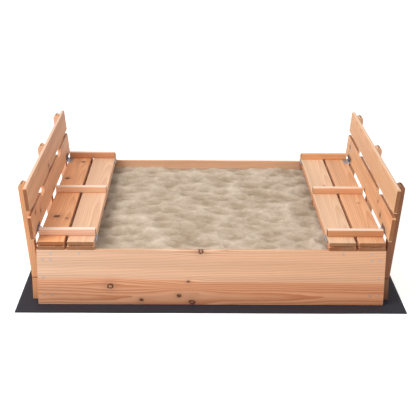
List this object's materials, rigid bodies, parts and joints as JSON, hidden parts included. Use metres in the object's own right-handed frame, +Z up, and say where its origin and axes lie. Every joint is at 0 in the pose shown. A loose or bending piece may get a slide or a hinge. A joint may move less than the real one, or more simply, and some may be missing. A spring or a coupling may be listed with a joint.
{
  "type": "sandbox with folding bench cover",
  "caption": "Low wooden sandbox on a ground sheet, filled with sand, whose slatted cover unfolds on hinges into facing benches with backrests.",
  "frame": {"origin": "on the ground at the middle of the box, under the ground sheet", "axes": "+X to the right bench, +Y from the front wall to the rear wall, +Z up"},
  "size_m": [1.334, 1.264, 0.4208],
  "materials": {
    "wall_wood": "matte",
    "deck_wood": "matte",
    "seat_wood": "matte",
    "back_wood": "matte",
    "batten_wood": "matte",
    "hidden_wood": "matte",
    "hinge_zinc": "satin",
    "screw_zinc": "satin",
    "ground_cloth": "matte",
    "play_sand": "matte"
  },
  "bodies": {
    "root": {"front_wall": "wall_wood", "rear_wall": "wall_wood", "left_wall": "wall_wood", "right_wall": "wall_wood", "left_front_post": "hidden_wood", "left_rear_post": "hidden_wood", "right_front_post": "hidden_wood", "right_rear_post": "hidden_wood", "left_deck_inner_slat": "deck_wood", "left_deck_outer_slat": "deck_wood", "right_deck_inner_slat": "deck_wood", "right_deck_outer_slat": "deck_wood", "left_deck_front_cleat": "hidden_wood", "left_deck_middle_cleat": "hidden_wood", "left_deck_rear_cleat": "hidden_wood", "right_deck_front_cleat": "hidden_wood", "right_deck_middle_cleat": "hidden_wood", "right_deck_rear_cleat": "hidden_wood", "left_front_support_block": "batten_wood", "left_middle_support_block": "batten_wood", "left_rear_support_block": "batten_wood", "right_front_support_block": "batten_wood", "right_middle_support_block": "batten_wood", "right_rear_support_block": "batten_wood", "ground_liner": "ground_cloth", "sand_fill": "play_sand", "box_screws": "screw_zinc", "deck_hinge_pins": "hinge_zinc", "left_deck_hinge_leaves": "hinge_zinc", "right_deck_hinge_leaves": "hinge_zinc"},
    "left_seat": {"left_seat_inner_slat": "seat_wood", "left_seat_outer_slat": "seat_wood", "left_seat_front_batten": "batten_wood", "left_seat_middle_batten": "batten_wood", "left_seat_rear_batten": "batten_wood", "left_seat_hinge_leaves": "hinge_zinc", "left_seat_screws": "screw_zinc", "left_back_hinge_pins": "hinge_zinc"},
    "left_back": {"left_back_lower_slat": "back_wood", "left_back_upper_slat": "back_wood", "left_back_front_batten": "batten_wood", "left_back_middle_batten": "batten_wood", "left_back_rear_batten": "batten_wood", "left_back_hinge_leaves": "hinge_zinc", "left_back_screws": "screw_zinc"},
    "right_seat": {"right_seat_inner_slat": "seat_wood", "right_seat_outer_slat": "seat_wood", "right_seat_front_batten": "batten_wood", "right_seat_middle_batten": "batten_wood", "right_seat_rear_batten": "batten_wood", "right_seat_hinge_leaves": "hinge_zinc", "right_seat_screws": "screw_zinc", "right_back_hinge_pins": "hinge_zinc"},
    "right_back": {"right_back_lower_slat": "back_wood", "right_back_upper_slat": "back_wood", "right_back_front_batten": "batten_wood", "right_back_middle_batten": "batten_wood", "right_back_rear_batten": "batten_wood", "right_back_hinge_leaves": "hinge_zinc", "right_back_screws": "screw_zinc"}
  },
  "joints": [
    {"name": "left_seat_fold", "type": "hinge", "parent": "root", "child": "left_seat", "pos_m": [-0.3975, 0, 0.21575], "axis": [0, 1, 0], "range_deg": [0, 180]},
    {"name": "left_back_fold", "type": "hinge", "parent": "left_seat", "child": "left_back", "pos_m": [-0.5965, 0, 0.2325], "axis": [0, -1, 0], "range_deg": [0, 83.83]},
    {"name": "right_seat_fold", "type": "hinge", "parent": "root", "child": "right_seat", "pos_m": [0.3975, 0, 0.21575], "axis": [0, -1, 0], "range_deg": [0, 180]},
    {"name": "right_back_fold", "type": "hinge", "parent": "right_seat", "child": "right_back", "pos_m": [0.5965, 0, 0.2325], "axis": [0, 1, 0], "range_deg": [0, 83.83]}
  ],
  "couplings": [
    {"joint": "left_back_fold", "follows": "left_seat_fold", "ratio": 0.46571},
    {"joint": "right_back_fold", "follows": "right_seat_fold", "ratio": 0.46571}
  ]
}
